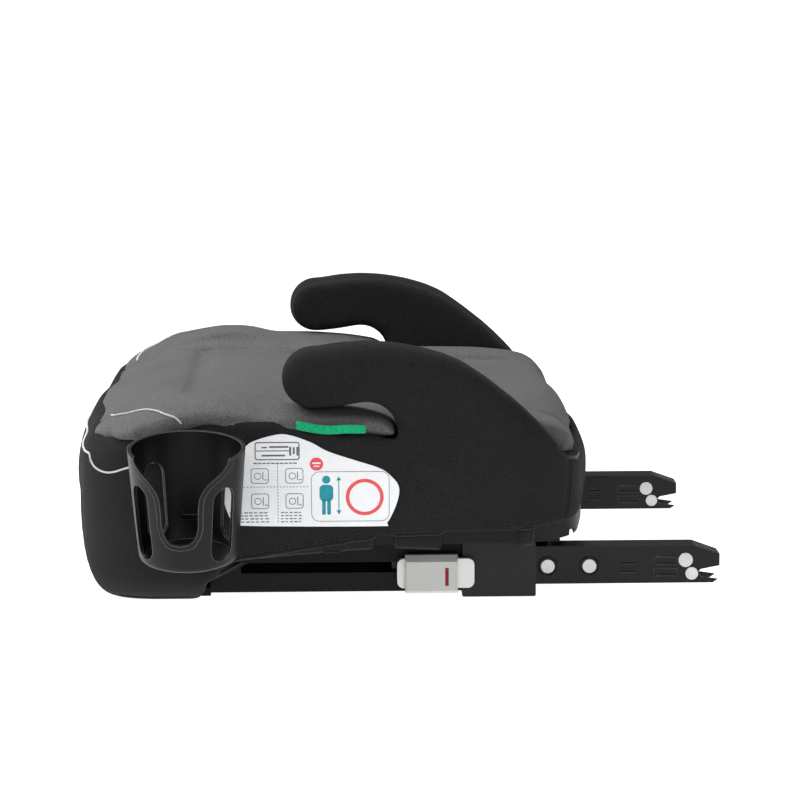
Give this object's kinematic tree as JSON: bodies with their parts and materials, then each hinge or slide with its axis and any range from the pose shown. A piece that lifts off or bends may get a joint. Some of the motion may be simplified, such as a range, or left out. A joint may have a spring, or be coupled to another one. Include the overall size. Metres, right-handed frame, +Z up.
{
  "type": "booster seat",
  "caption": "Backless child booster seat with padded cushion, hooked armrests, clip-on cup holder and two telescopic anchor arms with latching jaws.",
  "frame": {"origin": "on the plane the seat stands on, midway between the two anchor arms and midway along the body", "axes": "+Z up; -Y is the front of the seat; +X is the child's left, where the cup holder hangs"},
  "size_m": [0.5333, 0.4903, 0.1994],
  "materials": {
    "cover_fabric": "matte stretch knit",
    "pad_fabric": "melange woven, soft",
    "foam": "open-cell foam",
    "shell_plastic": "textured black plastic",
    "bracket_plastic": "fine-grained dark grey plastic",
    "cup_plastic": "satin black plastic",
    "core_foam": "expanded foam, matte",
    "belt_tab": "woven green ribbon",
    "label": "smooth white woven label",
    "arm_steel": "gloss black",
    "rivet_zinc": "zinc plated",
    "hook_steel": "hardened steel",
    "spring_steel": "spring steel",
    "rod_plastic": "nylon",
    "slider_plastic": "white plastic",
    "cap_plastic": "light grey plastic, satin",
    "indicator_red": "red",
    "screw_steel": "zinc plated screw"
  },
  "bodies": {
    "seat": {"seat_shell": "shell_plastic", "side_cover": "cover_fabric", "seat_foam": "foam", "pad_cover": "pad_fabric", "armrest_core_left": "core_foam", "armrest_core_right": "core_foam", "belt_tab_left": "belt_tab", "belt_tab_right": "belt_tab", "side_label": "label", "base_tray": "shell_plastic", "frame_screws": "screw_steel", "cup_socket": "cup_plastic", "guide_rail_left": "shell_plastic", "guide_rail_right": "shell_plastic", "arm_bracket_left": "bracket_plastic", "arm_bracket_right": "bracket_plastic"},
    "arm_left": {"anchor_arm_left": "arm_steel", "arm_rivets_left": "rivet_zinc", "latch_spring_left": "spring_steel"},
    "release_left": {"release_slider_left": "slider_plastic", "release_cap_left": "cap_plastic", "lock_indicator_left": "indicator_red", "pull_rod_left": "rod_plastic"},
    "latch_left": {"latch_hook_left": "hook_steel"},
    "arm_right": {"anchor_arm_right": "arm_steel", "arm_rivets_right": "rivet_zinc", "latch_spring_right": "spring_steel"},
    "release_right": {"release_slider_right": "slider_plastic", "release_cap_right": "cap_plastic", "lock_indicator_right": "indicator_red", "pull_rod_right": "rod_plastic"},
    "latch_right": {"latch_hook_right": "hook_steel"},
    "cup": {"cup_holder": "cup_plastic"}
  },
  "joints": [
    {"name": "arm_left_slide", "type": "slide", "parent": "seat", "child": "arm_left", "axis": [0, 1, 0], "range_m": [-0.11, 0]},
    {"name": "latch_left_swing", "type": "hinge", "parent": "arm_left", "child": "latch_left", "pos_m": [0.14, 0.2663, 0.0246], "axis": [-1, 0, 0], "range_deg": [0, 22], "stiffness_Nm_per_rad": 0.02, "springref_deg": -17.19},
    {"name": "release_left_slide", "type": "slide", "parent": "arm_left", "child": "release_left", "axis": [0, 1, 0], "range_m": [0, 0.00275]},
    {"name": "arm_right_slide", "type": "slide", "parent": "seat", "child": "arm_right", "axis": [0, 1, 0], "range_m": [-0.11, 0]},
    {"name": "latch_right_swing", "type": "hinge", "parent": "arm_right", "child": "latch_right", "pos_m": [-0.14, 0.2663, 0.0246], "axis": [-1, 0, 0], "range_deg": [0, 22], "stiffness_Nm_per_rad": 0.02, "springref_deg": -17.19},
    {"name": "release_right_slide", "type": "slide", "parent": "arm_right", "child": "release_right", "axis": [0, 1, 0], "range_m": [0, 0.00275]},
    {"name": "cup_holder_lift", "type": "slide", "parent": "seat", "child": "cup", "axis": [0, 0, 1], "range_m": [0, 0.05]}
  ],
  "couplings": [
    {"joint": "latch_left_swing", "follows": "release_left_slide", "rad_per_m": 139.73},
    {"joint": "latch_right_swing", "follows": "release_right_slide", "rad_per_m": 139.73}
  ]
}
